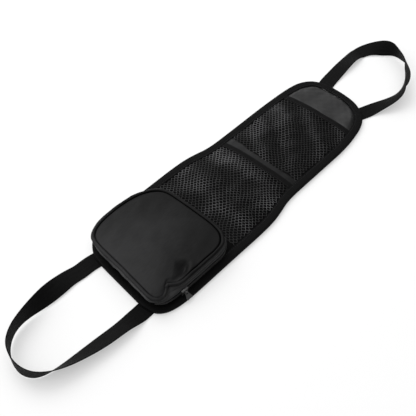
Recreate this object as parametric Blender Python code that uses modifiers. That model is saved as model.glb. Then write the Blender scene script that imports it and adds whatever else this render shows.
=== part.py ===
"""Car seat side organizer: a padded panel with a bound edge, two mesh pockets, a zipped box pocket and two webbing
loops. It lies on its back: +Z up, +Y towards the narrow top end, +X to the right as seen from the front.
Lengths below are millimetres, and MM turns them into metres."""

import math

import bmesh
import bpy
import numpy as np
from mathutils import Matrix, Vector

MM = 0.001
ORIGIN = (0.754, 61.502)  # the middle of the whole object's box, in the drawing's own x and y

# Layers of the panel, bottom to top
BACK_Z = (0.0, 2.2)  # back cloth, let in flush with the binding's lower turn
BACK_EDGE_Z = 1.7  # where the back cloth's margin starts, above the binding's lower turn
FOAM_Z = (2.5, 3.6)
LINING_Z = (3.9, 4.5)
EDGE_H = 5.8  # height of the bound edge
BIND_T = 1.0  # thickness of the folded binding
BIND_W = 12.5  # width of each turn of it
GAP = 0.3

# Zipped box pocket
RIM_Z = 25.0  # height of the piping's centre
PIPE_R = 1.3
PANEL_T = 1.0
WALL_T = 0.9
WALL_Z = (4.9, 23.4)
BULGE = 3.0  # how far the side wall swells outwards
CENTRE = (0.0, -98.0)
ZIP_FROM, ZIP_TO = -47.6, 218.0  # degrees round the pocket, from the lower right corner to the lower left one
ZIP_Z = 11.4  # height of the zipper's middle
ZIP_SLIT = 1.4  # between the two rows of teeth
COIL_R = 0.8
TAPE_T = 0.6
TAPE_W = 2.4

# Slider and pull
SLIDER_Y = -129.0
SLIDER_L = 10.5
SLIDER_H = 8.4
PULL_L, PULL_W, PULL_T = 10.0, 9.4, 1.0
PULL_LIFT = 48.0  # degrees that the pull stands off the wall as it hangs, its tip over the binding

# Mesh pockets
NET_T = 0.8
NET_Z = LINING_Z[1] + 0.3 + NET_T / 2
MOUTH_W = 9.5
UPPER_MOUTH_Y, UPPER_SEAM_Y = 256.0, 119.0
LOWER_MOUTH_Y, LOWER_SEAM_Y = 110.0, -28.0
MOUTH_RISE = 5.0

# Webbing loops
WEB_W, WEB_T = 25.0, 1.3

# The panel's outline, clockwise from the top
OUTLINE = [
    (-15, 321), (6, 319.5), (27, 315), (45, 305), (58, 292), (66, 275), (70.5, 255), (73.5, 236), (75.3, 210),
    (75.5, 175), (75.5, 135), (75.8, 100), (77.5, 80), (81.5, 62), (85, 42), (86.5, 15), (86.5, -30), (86.5, -75),
    (86.5, -115), (85.5, -137), (82.5, -154), (77, -166), (67, -174.5), (50, -177.5), (25, -175.5), (-5, -172.5),
    (-33, -169.5), (-50, -166), (-64, -158.5), (-76, -146), (-83.5, -129), (-86.5, -105), (-86.5, -70), (-86.5, -25),
    (-86.5, 15), (-85, 42), (-81.5, 62), (-77.5, 80), (-75.8, 100), (-75.5, 135), (-75.5, 175), (-75.3, 210),
    (-74, 250), (-71.5, 277), (-67.5, 293), (-60, 306), (-49, 315), (-33, 320),
]
# The pocket's rim and its foot on the panel, counter-clockwise from the right side
RIM = [
    (73.3, -92), (73.3, -76), (73.3, -62), (71, -50), (65.5, -41.5), (57, -35), (46, -31.5), (32, -29.8), (13, -29.4),
    (-6, -29.2), (-27, -29.3), (-44, -30.2), (-55, -33.8), (-63.5, -41), (-70, -51), (-74.5, -62), (-77.5, -76),
    (-79, -90), (-79.2, -105), (-78.3, -121), (-76, -135), (-71.3, -147), (-65, -154.6), (-56.5, -159), (-46, -161.4),
    (-32, -162.8), (-17, -164.1), (5, -166.2), (28, -168.9), (46, -171.2), (57, -171.9), (65.3, -170), (71, -164.6),
    (73.2, -156), (73.3, -145), (73.3, -129), (73.3, -110),
]
FOOT = [
    (73.1, -92), (73.1, -76), (73.1, -65), (70.5, -52), (64, -41), (54, -34.5), (42, -32), (20, -31.3), (0, -31.3),
    (-20, -31.3), (-42, -32), (-54, -34.5), (-64, -41), (-70.5, -52), (-73, -68), (-73.1, -85), (-73.1, -104),
    (-71.6, -121), (-66.5, -136), (-57.5, -147), (-46, -153), (-32, -156), (-5, -159), (25, -162), (46, -163.9),
    (57, -162), (65, -156.5), (69.6, -149), (72, -139), (73.1, -126), (73.1, -108),
]
# Webbing loops: centre line x and y, roll in degrees from flat, and lift of the lower edge
TOP_LOOP = [
    (-31.5, 309, 0, 0), (-33.5, 317.5, 0, 0), (-35.5, 326, 0, 0), (-38.5, 348, -3, 0), (-41, 376.5, -9, 1),
    (-43, 405, -12.5, 0.3), (-40.5, 432, 4.5, 0), (-27.5, 448, 24, 1), (-14.5, 455, 52.5, 0), (2.5, 458, 89.5, 1.5),
    (22, 451, 111, 4.5), (38.5, 441.5, 119.5, 5.5), (52, 426, 121, 1.5), (64.5, 395, 85.5, 0.5), (71, 366, 40.5, 3),
    (60.5, 336.5, 13, 1.5), (50.5, 314, 0, 0), (47.5, 305.5, 0, 0), (44, 297, 0, 0),
]
BOTTOM_LOOP = [
    (-45.5, -156, 0, 0), (-47, -166, 0, 0), (-48.5, -176, 0, 0), (-49.3, -193, 0, 0), (-50.7, -210, 6, 0.5),
    (-49.3, -226, 20, 1), (-47.2, -243, 38, 1), (-44.8, -262, 60, 1.5), (-42.8, -282, 80, 2), (-37, -307, 91, 2.5),
    (-20, -330, 88, 1.5), (-3, -337.5, 89, 1), (13.5, -338.5, 88.5, 0.3), (29.5, -331.5, 79, 0), (42.5, -309.5, 56.5, 0),
    (48.5, -279, 36.5, 0.2), (53.5, -240, 22.5, 1.5), (55, -208, 16, 0), (55, -184, 0, 0), (54.8, -175, 0, 0),
    (54.5, -166, 0, 0),
]


def place(x, y, z):
    return Vector(((x - ORIGIN[0]) * MM, (y - ORIGIN[1]) * MM, z * MM))


def smooth_closed(points, count):
    """Evenly spaced points on a smooth closed curve through the given ones."""
    p = np.array(points, float)
    n = len(p)
    dense = []
    for i in range(n):
        a, b, c, d = p[i - 1], p[i], p[(i + 1) % n], p[(i + 2) % n]
        for t in np.linspace(0, 1, 16, endpoint=False):
            dense.append(
                0.5 * (2 * b + (c - a) * t + (2 * a - 5 * b + 4 * c - d) * t**2 + (3 * b - a - 3 * c + d) * t**3)
            )
    dense = np.array(dense + [dense[0]])
    run = np.concatenate([[0], np.cumsum(np.linalg.norm(np.diff(dense, axis=0), axis=1))])
    at = np.linspace(0, run[-1], count, endpoint=False)
    return np.stack([np.interp(at, run, dense[:, k]) for k in (0, 1)], 1)


def smooth_open(points, count):
    """Natural cubic spline through the given rows, all of their columns together."""
    p = np.array(points, float)
    n = len(p)
    t = np.concatenate([[0], np.cumsum(np.linalg.norm(np.diff(p[:, :2], axis=0), axis=1))])
    h = np.diff(t)
    m = np.zeros((n, n))
    r = np.zeros_like(p)
    m[0, 0] = m[-1, -1] = 1
    for i in range(1, n - 1):
        m[i, i - 1 : i + 2] = h[i - 1], 2 * (h[i - 1] + h[i]), h[i]
        r[i] = 6 * ((p[i + 1] - p[i]) / h[i] - (p[i] - p[i - 1]) / h[i - 1])
    c = np.linalg.solve(m, r)
    out = []
    for s in np.linspace(0, t[-1], count):
        i = min(max(int(np.searchsorted(t, s)) - 1, 0), n - 2)
        a, b = t[i + 1] - s, s - t[i]
        out.append(
            (c[i] * a**3 + c[i + 1] * b**3) / (6 * h[i])
            + (p[i] / h[i] - c[i] * h[i] / 6) * a
            + (p[i + 1] / h[i] - c[i + 1] * h[i] / 6) * b
        )
    return np.array(out)


def inset(loop, by):
    """A closed loop moved inwards by a distance, along its normals."""
    ahead = np.roll(loop, -1, axis=0) - np.roll(loop, 1, axis=0)
    ahead /= np.linalg.norm(ahead, axis=1)[:, None]
    normal = np.stack([-ahead[:, 1], ahead[:, 0]], 1)
    area = 0.5 * np.sum(loop[:, 0] * np.roll(loop[:, 1], -1) - loop[:, 1] * np.roll(loop[:, 0], -1))
    return loop + normal * by * (1 if area > 0 else -1)


def radius_at(loop, degrees):
    """How far the loop is from the pocket's centre, in each direction."""
    d = loop - np.array(CENTRE)
    angle = np.degrees(np.arctan2(d[:, 1], d[:, 0]))
    order = np.argsort(angle)
    return np.interp(degrees, angle[order], np.linalg.norm(d, axis=1)[order], period=360)


bpy.context.scene.unit_settings.system = "METRIC"
for thing in list(bpy.data.objects):
    bpy.data.objects.remove(thing, do_unlink=True)
parts = bpy.data.collections.new("car_seat_side_organizer")
cutters = bpy.data.collections.new("cutters")
bpy.context.scene.collection.children.link(parts)
bpy.context.scene.collection.children.link(cutters)


def material(name, colour, roughness, metallic=0.0):
    found = bpy.data.materials.get(name) or bpy.data.materials.new(name)
    found.use_nodes = True
    shader = found.node_tree.nodes["Principled BSDF"]
    shader.inputs["Base Color"].default_value = (*colour, 1.0)
    shader.inputs["Roughness"].default_value = roughness
    shader.inputs["Metallic"].default_value = metallic
    return found


def add(name, data, look=None, helper=False):
    piece = bpy.data.objects.new(name, data)
    (cutters if helper else parts).objects.link(piece)
    if helper:
        piece.hide_render = True
        piece.display_type = "WIRE"
    elif look is not None:
        data.materials.clear()
        data.materials.append(look)
    return piece


def as_mesh(curve_object, name):
    """The mesh that a curve makes, with its caps welded on."""
    graph = bpy.context.evaluated_depsgraph_get()
    mesh = bpy.data.meshes.new_from_object(curve_object.evaluated_get(graph))
    mesh.name = name
    bm = bmesh.new()
    bm.from_mesh(mesh)
    bmesh.ops.remove_doubles(bm, verts=bm.verts, dist=1e-6)
    bm.normal_update()
    bmesh.ops.recalc_face_normals(bm, faces=bm.faces)
    bm.to_mesh(mesh)
    bm.free()
    bpy.data.objects.remove(curve_object, do_unlink=True)
    return mesh


def plate(name, loop, low, high, look=None, helper=False):
    """A flat sheet cut to a loop: a filled curve, extruded by half its thickness each way."""
    curve = bpy.data.curves.new(name, "CURVE")
    curve.dimensions = "2D"
    curve.fill_mode = "BOTH"
    curve.extrude = (high - low) / 2 * MM
    line = curve.splines.new("POLY")
    line.points.add(len(loop) - 1)
    for point, (x, y) in zip(line.points, loop):
        point.co = (*place(x, y, 0).xy, 0, 1)
    line.use_cyclic_u = True
    maker = bpy.data.objects.new(name + "_curve", curve)
    parts.objects.link(maker)
    mesh = as_mesh(maker, name)
    for vertex in mesh.vertices:
        vertex.co.z += (low + high) / 2 * MM
    return add(name, mesh, look, helper)


def sheet(name, rows, thickness, look=None, closed=False, helper=False, offset=0.0):
    """A bent sheet: a grid laid over rows of points, given its thickness by Solidify."""
    rows = [list(row) + ([row[0]] if closed else []) for row in rows]
    across, along = len(rows[0]), len(rows)
    bm = bmesh.new()
    bmesh.ops.create_grid(bm, x_segments=across - 1, y_segments=along - 1, size=1.0)
    bm.verts.ensure_lookup_table()
    for i, vertex in enumerate(bm.verts):
        vertex.co = place(*rows[i // across][i % across])
    if closed:
        bmesh.ops.remove_doubles(bm, verts=bm.verts, dist=1e-6)
    bm.normal_update()
    bmesh.ops.recalc_face_normals(bm, faces=bm.faces)
    mesh = bpy.data.meshes.new(name)
    bm.to_mesh(mesh)
    bm.free()
    piece = add(name, mesh, look, helper)
    solid = piece.modifiers.new("thickness", "SOLIDIFY")
    solid.thickness = thickness * MM
    solid.offset = offset
    solid.use_even_offset = True
    return piece


def tube(name, points, radius, look, closed=False):
    curve = bpy.data.curves.new(name, "CURVE")
    curve.dimensions = "3D"
    curve.bevel_depth = radius * MM
    curve.bevel_resolution = 2
    curve.use_fill_caps = True
    line = curve.splines.new("POLY")
    line.points.add(len(points) - 1)
    for point, at in zip(line.points, points):
        point.co = (*place(*at), 1)
    line.use_cyclic_u = closed
    maker = bpy.data.objects.new(name + "_curve", curve)
    parts.objects.link(maker)
    return add(name, as_mesh(maker, name), look)


def boolean(piece, other, operation):
    cut = piece.modifiers.new(operation.lower(), "BOOLEAN")
    cut.operation = operation
    cut.solver = "EXACT"
    cut.object = other
    return piece


cloth = material("pocket_nylon", (0.042, 0.042, 0.045), 0.75)
satin = material("lining_satin", (0.055, 0.055, 0.058), 0.5)
backing = material("back_cloth", (0.02, 0.02, 0.02), 0.85)
binding = material("binding_tape", (0.012, 0.012, 0.012), 0.8)
webbing = material("webbing", (0.011, 0.011, 0.011), 0.7)
net = material("net", (0.02, 0.02, 0.02), 0.7)
foam = material("foam", (0.3, 0.3, 0.32), 0.95)
zip_tape = material("zip_tape", (0.008, 0.008, 0.008), 0.85)
zip_teeth = material("zip_teeth", (0.012, 0.012, 0.012), 0.4)
painted = material("painted_metal", (0.012, 0.012, 0.013), 0.4, 0.5)

outline = smooth_closed(OUTLINE, 92)

# Webbing loops. The lower edge rests on the floor where the strap stands on edge.


def webbing_rows(route, side, count):
    p = smooth_open(route, count)
    ahead = np.gradient(p[:, :2], axis=0)
    ahead /= np.linalg.norm(ahead, axis=1)[:, None]
    out = side * np.stack([-ahead[:, 1], ahead[:, 0]], 1)
    roll = np.radians(p[:, 2])
    rise = np.abs(np.sin(roll)) * WEB_W / 2 + np.maximum(p[:, 3], 0) + WEB_T / 2 + 0.1
    middle = np.column_stack([p[:, :2], rise])
    reach = np.column_stack([out * np.cos(roll)[:, None], np.sin(roll)])
    return middle, reach


def webbing_loop(name, route, side):
    middle, reach = webbing_rows(route, side, 64)
    rows = [middle + reach * WEB_W * k for k in (-0.5, 0, 0.5)]
    return sheet(name, rows, WEB_T, webbing)


webbing_loop("top_strap_loop", TOP_LOOP, 1)
webbing_loop("bottom_strap_loop", BOTTOM_LOOP, -1)


def tail_cutter(name, end, following):
    """The room that a webbing end takes under the binding."""
    end, following = np.array(end[:2], float), np.array(following[:2], float)
    ahead = (following - end) / np.linalg.norm(following - end)
    across = np.array([-ahead[1], ahead[0]])
    half = WEB_W / 2 + 0.5
    rows = []
    for k in (-1, 1):
        rows.append([(*(end - ahead * 0.6 + ahead * s * 30 + across * half * k), 0.0) for s in (0.0, 1.0)])
    return sheet(name, rows, 2 * BACK_EDGE_Z - 0.02, helper=True)


tails = [
    tail_cutter("room_top_left", TOP_LOOP[0], TOP_LOOP[1]),
    tail_cutter("room_top_right", TOP_LOOP[-1], TOP_LOOP[-2]),
    tail_cutter("room_bottom_left", BOTTOM_LOOP[0], BOTTOM_LOOP[1]),
    tail_cutter("room_bottom_right", BOTTOM_LOOP[-1], BOTTOM_LOOP[-2]),
]

# Panel: back cloth, foam, satin lining, and the binding folded round their edge
section = [
    (BIND_W, BIND_T / 2), (7, BIND_T / 2), (1.6, BIND_T / 2), (0.8, 0.9), (BIND_T / 2, 1.7), (BIND_T / 2, EDGE_H - 1.7),
    (0.8, EDGE_H - 0.9), (1.6, EDGE_H - BIND_T / 2), (7, EDGE_H - BIND_T / 2), (BIND_W, EDGE_H - BIND_T / 2),
]
edge = sheet(
    "edge_binding",
    [[(x, y, z) for x, y in inset(outline, by)] for by, z in section],
    BIND_T,
    binding,
    closed=True,
)
for tail in tails:
    boolean(edge, tail, "DIFFERENCE")
back = plate("rear_panel_fabric", inset(outline, BIND_T + 0.5), BACK_EDGE_Z, BACK_Z[1], backing)
boolean(back, plate("back_inner", inset(outline, BIND_W + 0.5), BACK_Z[0], BACK_EDGE_Z + 0.1, helper=True), "UNION")
plate("foam_core", inset(outline, BIND_T + 1.0), FOAM_Z[0], FOAM_Z[1], foam)
plate("front_panel_lining", inset(outline, BIND_T + 0.5), LINING_Z[0], LINING_Z[1], satin)

# Mesh pockets: a net that swells a little above the lining, and a bound mouth
inner = inset(outline, BIND_W + 0.6)


def half_width(y):
    """Where the panel inside the binding starts and ends at a height on the panel."""
    right = inner[inner[:, 0] > 0]
    left = inner[inner[:, 0] < 0]
    right = right[np.argsort(right[:, 1])]
    left = left[np.argsort(left[:, 1])]
    return np.interp(y, left[:, 1], left[:, 0]), np.interp(y, right[:, 1], right[:, 0])


def net_point(u, y, rise):
    low, high = half_width(y)
    x = low + (high - low) * u
    swell = (1 - abs(2 * u - 1) ** 3.0) ** 0.9
    # a mouth that stands open is drawn back a little
    return x, y - 0.6 * rise * swell, NET_Z + rise * swell


def net_pocket(name, mouth, seam):
    across = np.linspace(0, 1, 21)
    rows = []
    for t in np.linspace(0, 1, 11):
        y = (mouth - MOUTH_W - GAP) + (seam - mouth + MOUTH_W + GAP) * t
        rise = (MOUTH_RISE + 2.0 * math.sin(math.pi * min(t * 1.25, 1.0))) * (1 - t**5)
        rows.append([net_point(u, y, rise) for u in across])
    sheet(name + "_mesh_pocket", rows, NET_T, net)
    rows = []
    for t in (0, 0.5, 1):
        rows.append([net_point(u, mouth - MOUTH_W * t, MOUTH_RISE) for u in across])
    sheet(name + "_mouth_binding", rows, NET_T + 0.4, binding)


net_pocket("upper", UPPER_MOUTH_Y, UPPER_SEAM_Y)
net_pocket("lower", LOWER_MOUTH_Y, LOWER_SEAM_Y)

# Box pocket: its wall goes up from the foot to the rim in strips, with the zipper between two of them
rim = smooth_closed(RIM, 160)
foot = smooth_closed(FOOT, 160)
margin = inset(smooth_closed(OUTLINE, 400), BIND_W + WALL_T / 2 + 1.2)


def ease(t):
    t = min(max(t, 0.0), 1.0)
    return t * t * (3 - 2 * t)


def foot_radius(degrees):
    """The foot never reaches the binding's upper turn."""
    return np.minimum(radius_at(foot, degrees), radius_at(margin, degrees))


def wall_point(degrees, z, stand_off=0.0):
    f = (z - WALL_Z[0]) / (WALL_Z[1] - WALL_Z[0])
    reach = (1 - f) * foot_radius(degrees) + f * radius_at(rim, degrees)
    a = math.radians(degrees)
    radial = np.array([math.cos(a), math.sin(a)])
    # outward normal of the pocket's outline in this direction
    step = 0.5
    here = [
        np.array([math.cos(math.radians(d)), math.sin(math.radians(d))])
        * ((1 - f) * foot_radius(d) + f * radius_at(rim, d))
        for d in (degrees - step, degrees + step)
    ]
    tangent = here[1] - here[0]
    normal = np.array([tangent[1], -tangent[0]]) / np.linalg.norm(tangent)
    swell = BULGE * ease((z - EDGE_H - 0.3) / 2.6) * ease((1 - f) / 0.45)
    at = np.array(CENTRE) + radial * reach + normal * (swell + stand_off)
    return at[0], at[1], z


def strip(name, low, high, start, end, thickness, look, rows=2, step=4.0):
    angles = np.linspace(start, end, int(abs(end - start) / step) + 1)
    heights = sorted({low, high, *np.linspace(max(low, EDGE_H + 0.3), high, rows)})
    return sheet(name, [[wall_point(a, z) for a in angles] for z in heights], thickness, look)


SLIT = ZIP_SLIT / 2
TAPE_LOW = (ZIP_Z - SLIT - TAPE_W, ZIP_Z - SLIT + 0.1)
TAPE_HIGH = (ZIP_Z + SLIT - 0.1, ZIP_Z + SLIT + TAPE_W)
strip("pocket_lower_gusset", WALL_Z[0], TAPE_LOW[0] - GAP, ZIP_FROM, ZIP_TO, WALL_T, cloth)
strip("zipper_tape_lower", *TAPE_LOW, ZIP_FROM, ZIP_TO, TAPE_T, zip_tape)
strip("zipper_tape_upper", *TAPE_HIGH, ZIP_FROM, ZIP_TO, TAPE_T, zip_tape)
strip("pocket_upper_gusset", TAPE_HIGH[1] + GAP, WALL_Z[1], ZIP_FROM, ZIP_TO, WALL_T, cloth, rows=4)
strip("pocket_end_gusset", WALL_Z[0], WALL_Z[1], ZIP_TO + 0.6, 360 + ZIP_FROM - 0.6, WALL_T, cloth, rows=6)

coil_out = TAPE_T / 2 + 0.25 + COIL_R
for label, z in (("lower", ZIP_Z - SLIT - COIL_R), ("upper", ZIP_Z + SLIT + COIL_R)):
    angles = np.linspace(ZIP_FROM + 0.5, ZIP_TO - 0.5, 72)
    tube("zipper_coil_" + label, [wall_point(a, z, coil_out) for a in angles], COIL_R, zip_teeth)

rim_line = smooth_closed(RIM, 84)
tube("pocket_rim_piping", [(x, y, RIM_Z) for x, y in rim_line], PIPE_R, cloth, closed=True)
plate("pocket_front_panel", inset(rim_line, PIPE_R + GAP), RIM_Z - 0.8, RIM_Z - 0.8 + PANEL_T, cloth)

# Slider: two plates joined by a web that runs in the slit, side flanges, and a lug for the pull
wall_x = wall_point(math.degrees(math.atan2(SLIDER_Y - CENTRE[1], 73.2)), ZIP_Z)[0]
coil_face = wall_x + coil_out + COIL_R
front = (coil_face + 0.65, coil_face + 1.55)
rear = (wall_x - WALL_T / 2 - GAP - 0.9, wall_x - WALL_T / 2 - GAP)
lift = math.radians(PULL_LIFT)
hinge = Vector((0, -1, 0))  # positive turns lift the pull
hang = Vector((0, 0, -1))
down = hang * math.cos(lift) + Vector((1, 0, 0)) * math.sin(lift)
normal = hinge.cross(down)


def stamp(name, rings, thickness, axes, centre, look=None, helper=False):
    """A plate cut to the first ring, with the others as its holes, lying across the third of three directions."""
    curve = bpy.data.curves.new(name, "CURVE")
    curve.dimensions = "2D"
    curve.fill_mode = "BOTH"
    curve.extrude = thickness / 2 * MM
    for ring in rings:
        line = curve.splines.new("POLY")
        line.points.add(len(ring) - 1)
        for point, (u, v) in zip(line.points, ring):
            point.co = (u * MM, v * MM, 0, 1)
        line.use_cyclic_u = True
    maker = bpy.data.objects.new(name + "_curve", curve)
    parts.objects.link(maker)
    mesh = as_mesh(maker, name)
    mesh.transform(Matrix(axes).transposed().to_4x4())
    piece = add(name, mesh, look, helper)
    piece.location = place(*centre)
    return piece


X, Y, Z = Vector((1, 0, 0)), Vector((0, 1, 0)), Vector((0, 0, 1))
half = SLIDER_H / 2
lip = wall_x + WALL_T / 2 + 0.85
channel = [
    (front[1], half - 0.7), (front[1] - 0.25, half - 0.2), (front[1] - 0.7, half), (lip, half), (lip, half - 0.9),
    (front[0], half - 0.9),
]
channel += [(x, -z) for x, z in reversed(channel)]
slider = stamp("zipper_slider", [channel], SLIDER_L, (X, Z, -Y), (0, SLIDER_Y, ZIP_Z), painted)
slit = (ZIP_SLIT - 0.6) / 2
wedge = [
    (rear[0], 2.3), (rear[1], 2.3), (rear[1], slit), (front[0] + 0.4, slit), (front[0] + 0.4, -slit), (rear[1], -slit),
    (rear[1], -2.3), (rear[0], -2.3),
]
shapes = [stamp("wedge", [wedge], 3.0, (X, Z, -Y), (0, SLIDER_Y + 2.2, ZIP_Z), helper=True)]
tongue = [(rear[0] + 0.1, 2.2), (rear[1] - 0.1, 2.2), (rear[1] - 0.1, -2.2), (rear[0] + 0.1, -2.2)]
shapes.append(stamp("inner_plate", [tongue], SLIDER_L - 1.4, (X, Z, -Y), (0, SLIDER_Y, ZIP_Z), helper=True))


def arc(radius, start, end, count):
    return [
        (radius * math.cos(math.radians(a)), radius * math.sin(math.radians(a)))
        for a in np.linspace(start, end, count)
    ]


pin = (front[1] + 1.3, SLIDER_Y, ZIP_Z)
lug = [(-1.5, -1.7), (1.5, -1.7)] + arc(1.5, 0, 180, 11)
shapes.append(stamp("lug", [lug, arc(0.85, 360, 22.5, 16)], 1.5, (hang, X, hinge), pin, helper=True))
for shape in shapes:
    boolean(slider, shape, "UNION")

# Pull: one stamped tab. The bar over its window runs through the lug.
TAB = [
    (2.4, -0.5), (2.5, 1.5), (2.9, 3.0), (3.8, 5.0), (4.5, 6.8), (PULL_W / 2, 8.4), (PULL_W / 2 - 0.2, PULL_L - 0.7),
    (PULL_W / 2 - 1.0, PULL_L), (2.4, PULL_L - 0.1), (1.2, PULL_L - 0.8), (0, PULL_L - 1.1),
]
tab = TAB + [(-u, v) for u, v in reversed(TAB[:-1])]
window = [(1.25, 0.5), (1.25, 3.0), (-1.25, 3.0), (-1.25, 0.5)]
stamp("zipper_pull", [tab, window], PULL_T, (hinge, down, normal), pin, painted)

for piece in parts.objects:
    if piece.type == "MESH":
        piece.data.shade_smooth()
        piece.data.set_sharp_from_angle(angle=math.radians(35))
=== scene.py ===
"""Looks of the car seat side organizer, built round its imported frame.
Lengths below are millimetres in the drawing's own x and y; place() turns them into the frame's metres."""

import math

import bpy
import numpy as np
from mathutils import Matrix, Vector


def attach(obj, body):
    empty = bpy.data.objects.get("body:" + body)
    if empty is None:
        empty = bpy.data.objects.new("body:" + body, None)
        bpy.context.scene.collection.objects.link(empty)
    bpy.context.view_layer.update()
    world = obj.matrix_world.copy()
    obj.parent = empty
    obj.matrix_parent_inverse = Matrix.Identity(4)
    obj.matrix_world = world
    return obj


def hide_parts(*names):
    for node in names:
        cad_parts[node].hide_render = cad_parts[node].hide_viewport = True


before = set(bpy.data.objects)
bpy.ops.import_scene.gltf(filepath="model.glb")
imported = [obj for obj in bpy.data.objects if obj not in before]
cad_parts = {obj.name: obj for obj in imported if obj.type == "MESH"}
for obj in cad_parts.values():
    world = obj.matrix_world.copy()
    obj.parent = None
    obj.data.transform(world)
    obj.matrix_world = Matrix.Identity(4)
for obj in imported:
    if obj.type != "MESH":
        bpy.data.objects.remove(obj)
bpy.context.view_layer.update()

MM = 0.001
ORIGIN = (0.754, 61.502)
EDGE_H, BIND_T, BIND_W = 5.8, 1.0, 12.5
LINING_TOP = 4.5
WALL_Z = (4.9, 23.4)
BULGE = 3.0
CENTRE = (0.0, -98.0)
ZIP_FROM, ZIP_TO = -47.6, 218.0
ZIP_Z, ZIP_SLIT, COIL_R, TAPE_T, TAPE_W = 11.4, 1.4, 0.8, 0.6, 2.4
NET_Z = 5.2
MOUTH_W = 9.5
WEB_W, WEB_T = 25.0, 1.3

OUTLINE = [
    (-15, 321), (6, 319.5), (27, 315), (45, 305), (58, 292), (66, 275), (70.5, 255), (73.5, 236), (75.3, 210),
    (75.5, 175), (75.5, 135), (75.8, 100), (77.5, 80), (81.5, 62), (85, 42), (86.5, 15), (86.5, -30), (86.5, -75),
    (86.5, -115), (85.5, -137), (82.5, -154), (77, -166), (67, -174.5), (50, -177.5), (25, -175.5), (-5, -172.5),
    (-33, -169.5), (-50, -166), (-64, -158.5), (-76, -146), (-83.5, -129), (-86.5, -105), (-86.5, -70), (-86.5, -25),
    (-86.5, 15), (-85, 42), (-81.5, 62), (-77.5, 80), (-75.8, 100), (-75.5, 135), (-75.5, 175), (-75.3, 210),
    (-74, 250), (-71.5, 277), (-67.5, 293), (-60, 306), (-49, 315), (-33, 320),
]
RIM = [
    (73.3, -92), (73.3, -76), (73.3, -62), (71, -50), (65.5, -41.5), (57, -35), (46, -31.5), (32, -29.8), (13, -29.4),
    (-6, -29.2), (-27, -29.3), (-44, -30.2), (-55, -33.8), (-63.5, -41), (-70, -51), (-74.5, -62), (-77.5, -76),
    (-79, -90), (-79.2, -105), (-78.3, -121), (-76, -135), (-71.3, -147), (-65, -154.6), (-56.5, -159), (-46, -161.4),
    (-32, -162.8), (-17, -164.1), (5, -166.2), (28, -168.9), (46, -171.2), (57, -171.9), (65.3, -170), (71, -164.6),
    (73.2, -156), (73.3, -145), (73.3, -129), (73.3, -110),
]
FOOT = [
    (73.1, -92), (73.1, -76), (73.1, -65), (70.5, -52), (64, -41), (54, -34.5), (42, -32), (20, -31.3), (0, -31.3),
    (-20, -31.3), (-42, -32), (-54, -34.5), (-64, -41), (-70.5, -52), (-73, -68), (-73.1, -85), (-73.1, -104),
    (-71.6, -121), (-66.5, -136), (-57.5, -147), (-46, -153), (-32, -156), (-5, -159), (25, -162), (46, -163.9),
    (57, -162), (65, -156.5), (69.6, -149), (72, -139), (73.1, -126), (73.1, -108),
]
TOP_LOOP = [
    (-31.5, 309, 0, 0), (-33.5, 317.5, 0, 0), (-35.5, 326, 0, 0), (-38.5, 348, -3, 0), (-41, 376.5, -9, 1),
    (-43, 405, -12.5, 0.3), (-40.5, 432, 4.5, 0), (-27.5, 448, 24, 1), (-14.5, 455, 52.5, 0), (2.5, 458, 89.5, 1.5),
    (22, 451, 111, 4.5), (38.5, 441.5, 119.5, 5.5), (52, 426, 121, 1.5), (64.5, 395, 85.5, 0.5), (71, 366, 40.5, 3),
    (60.5, 336.5, 13, 1.5), (50.5, 314, 0, 0), (47.5, 305.5, 0, 0), (44, 297, 0, 0),
]
BOTTOM_LOOP = [
    (-45.5, -156, 0, 0), (-47, -166, 0, 0), (-48.5, -176, 0, 0), (-49.3, -193, 0, 0), (-50.7, -210, 6, 0.5),
    (-49.3, -226, 20, 1), (-47.2, -243, 38, 1), (-44.8, -262, 60, 1.5), (-42.8, -282, 80, 2), (-37, -307, 91, 2.5),
    (-20, -330, 88, 1.5), (-3, -337.5, 89, 1), (13.5, -338.5, 88.5, 0.3), (29.5, -331.5, 79, 0), (42.5, -309.5, 56.5, 0),
    (48.5, -279, 36.5, 0.2), (53.5, -240, 22.5, 1.5), (55, -208, 16, 0), (55, -184, 0, 0), (54.8, -175, 0, 0),
    (54.5, -166, 0, 0),
]

scene = bpy.context.scene
scene.unit_settings.system = "METRIC"
scene.view_settings.view_transform = "Standard"


# Camera, at the photograph's viewing angle


def aim(thing, target):
    thing.rotation_mode = "QUATERNION"
    thing.rotation_quaternion = (Vector(target) - thing.location).to_track_quat("-Z", "Y")


azimuth, elevation, distance = math.radians(42.35), math.radians(49.5), 1.05
target = Vector(((0.2 - ORIGIN[0]) * MM, -ORIGIN[1] * MM, 0.0))
camera = bpy.data.objects.new("camera", bpy.data.cameras.new("camera"))
scene.collection.objects.link(camera)
camera.data.sensor_width = 36.0
camera.data.lens = 64.9
camera.location = target + distance * Vector((
    math.sin(azimuth) * math.cos(elevation),
    -math.cos(azimuth) * math.cos(elevation),
    math.sin(elevation),
))
aim(camera, target)
scene.camera = camera


# Curves and meshes


def place(x, y, z):
    return Vector(((x - ORIGIN[0]) * MM, (y - ORIGIN[1]) * MM, z * MM))


def smooth_closed(points, count):
    p = np.array(points, float)
    n = len(p)
    dense = []
    for i in range(n):
        a, b, c, d = p[i - 1], p[i], p[(i + 1) % n], p[(i + 2) % n]
        for t in np.linspace(0, 1, 16, endpoint=False):
            dense.append(
                0.5 * (2 * b + (c - a) * t + (2 * a - 5 * b + 4 * c - d) * t**2 + (3 * b - a - 3 * c + d) * t**3)
            )
    dense = np.array(dense + [dense[0]])
    run = np.concatenate([[0], np.cumsum(np.linalg.norm(np.diff(dense, axis=0), axis=1))])
    at = np.linspace(0, run[-1], count, endpoint=False)
    return np.stack([np.interp(at, run, dense[:, k]) for k in (0, 1)], 1)


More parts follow.
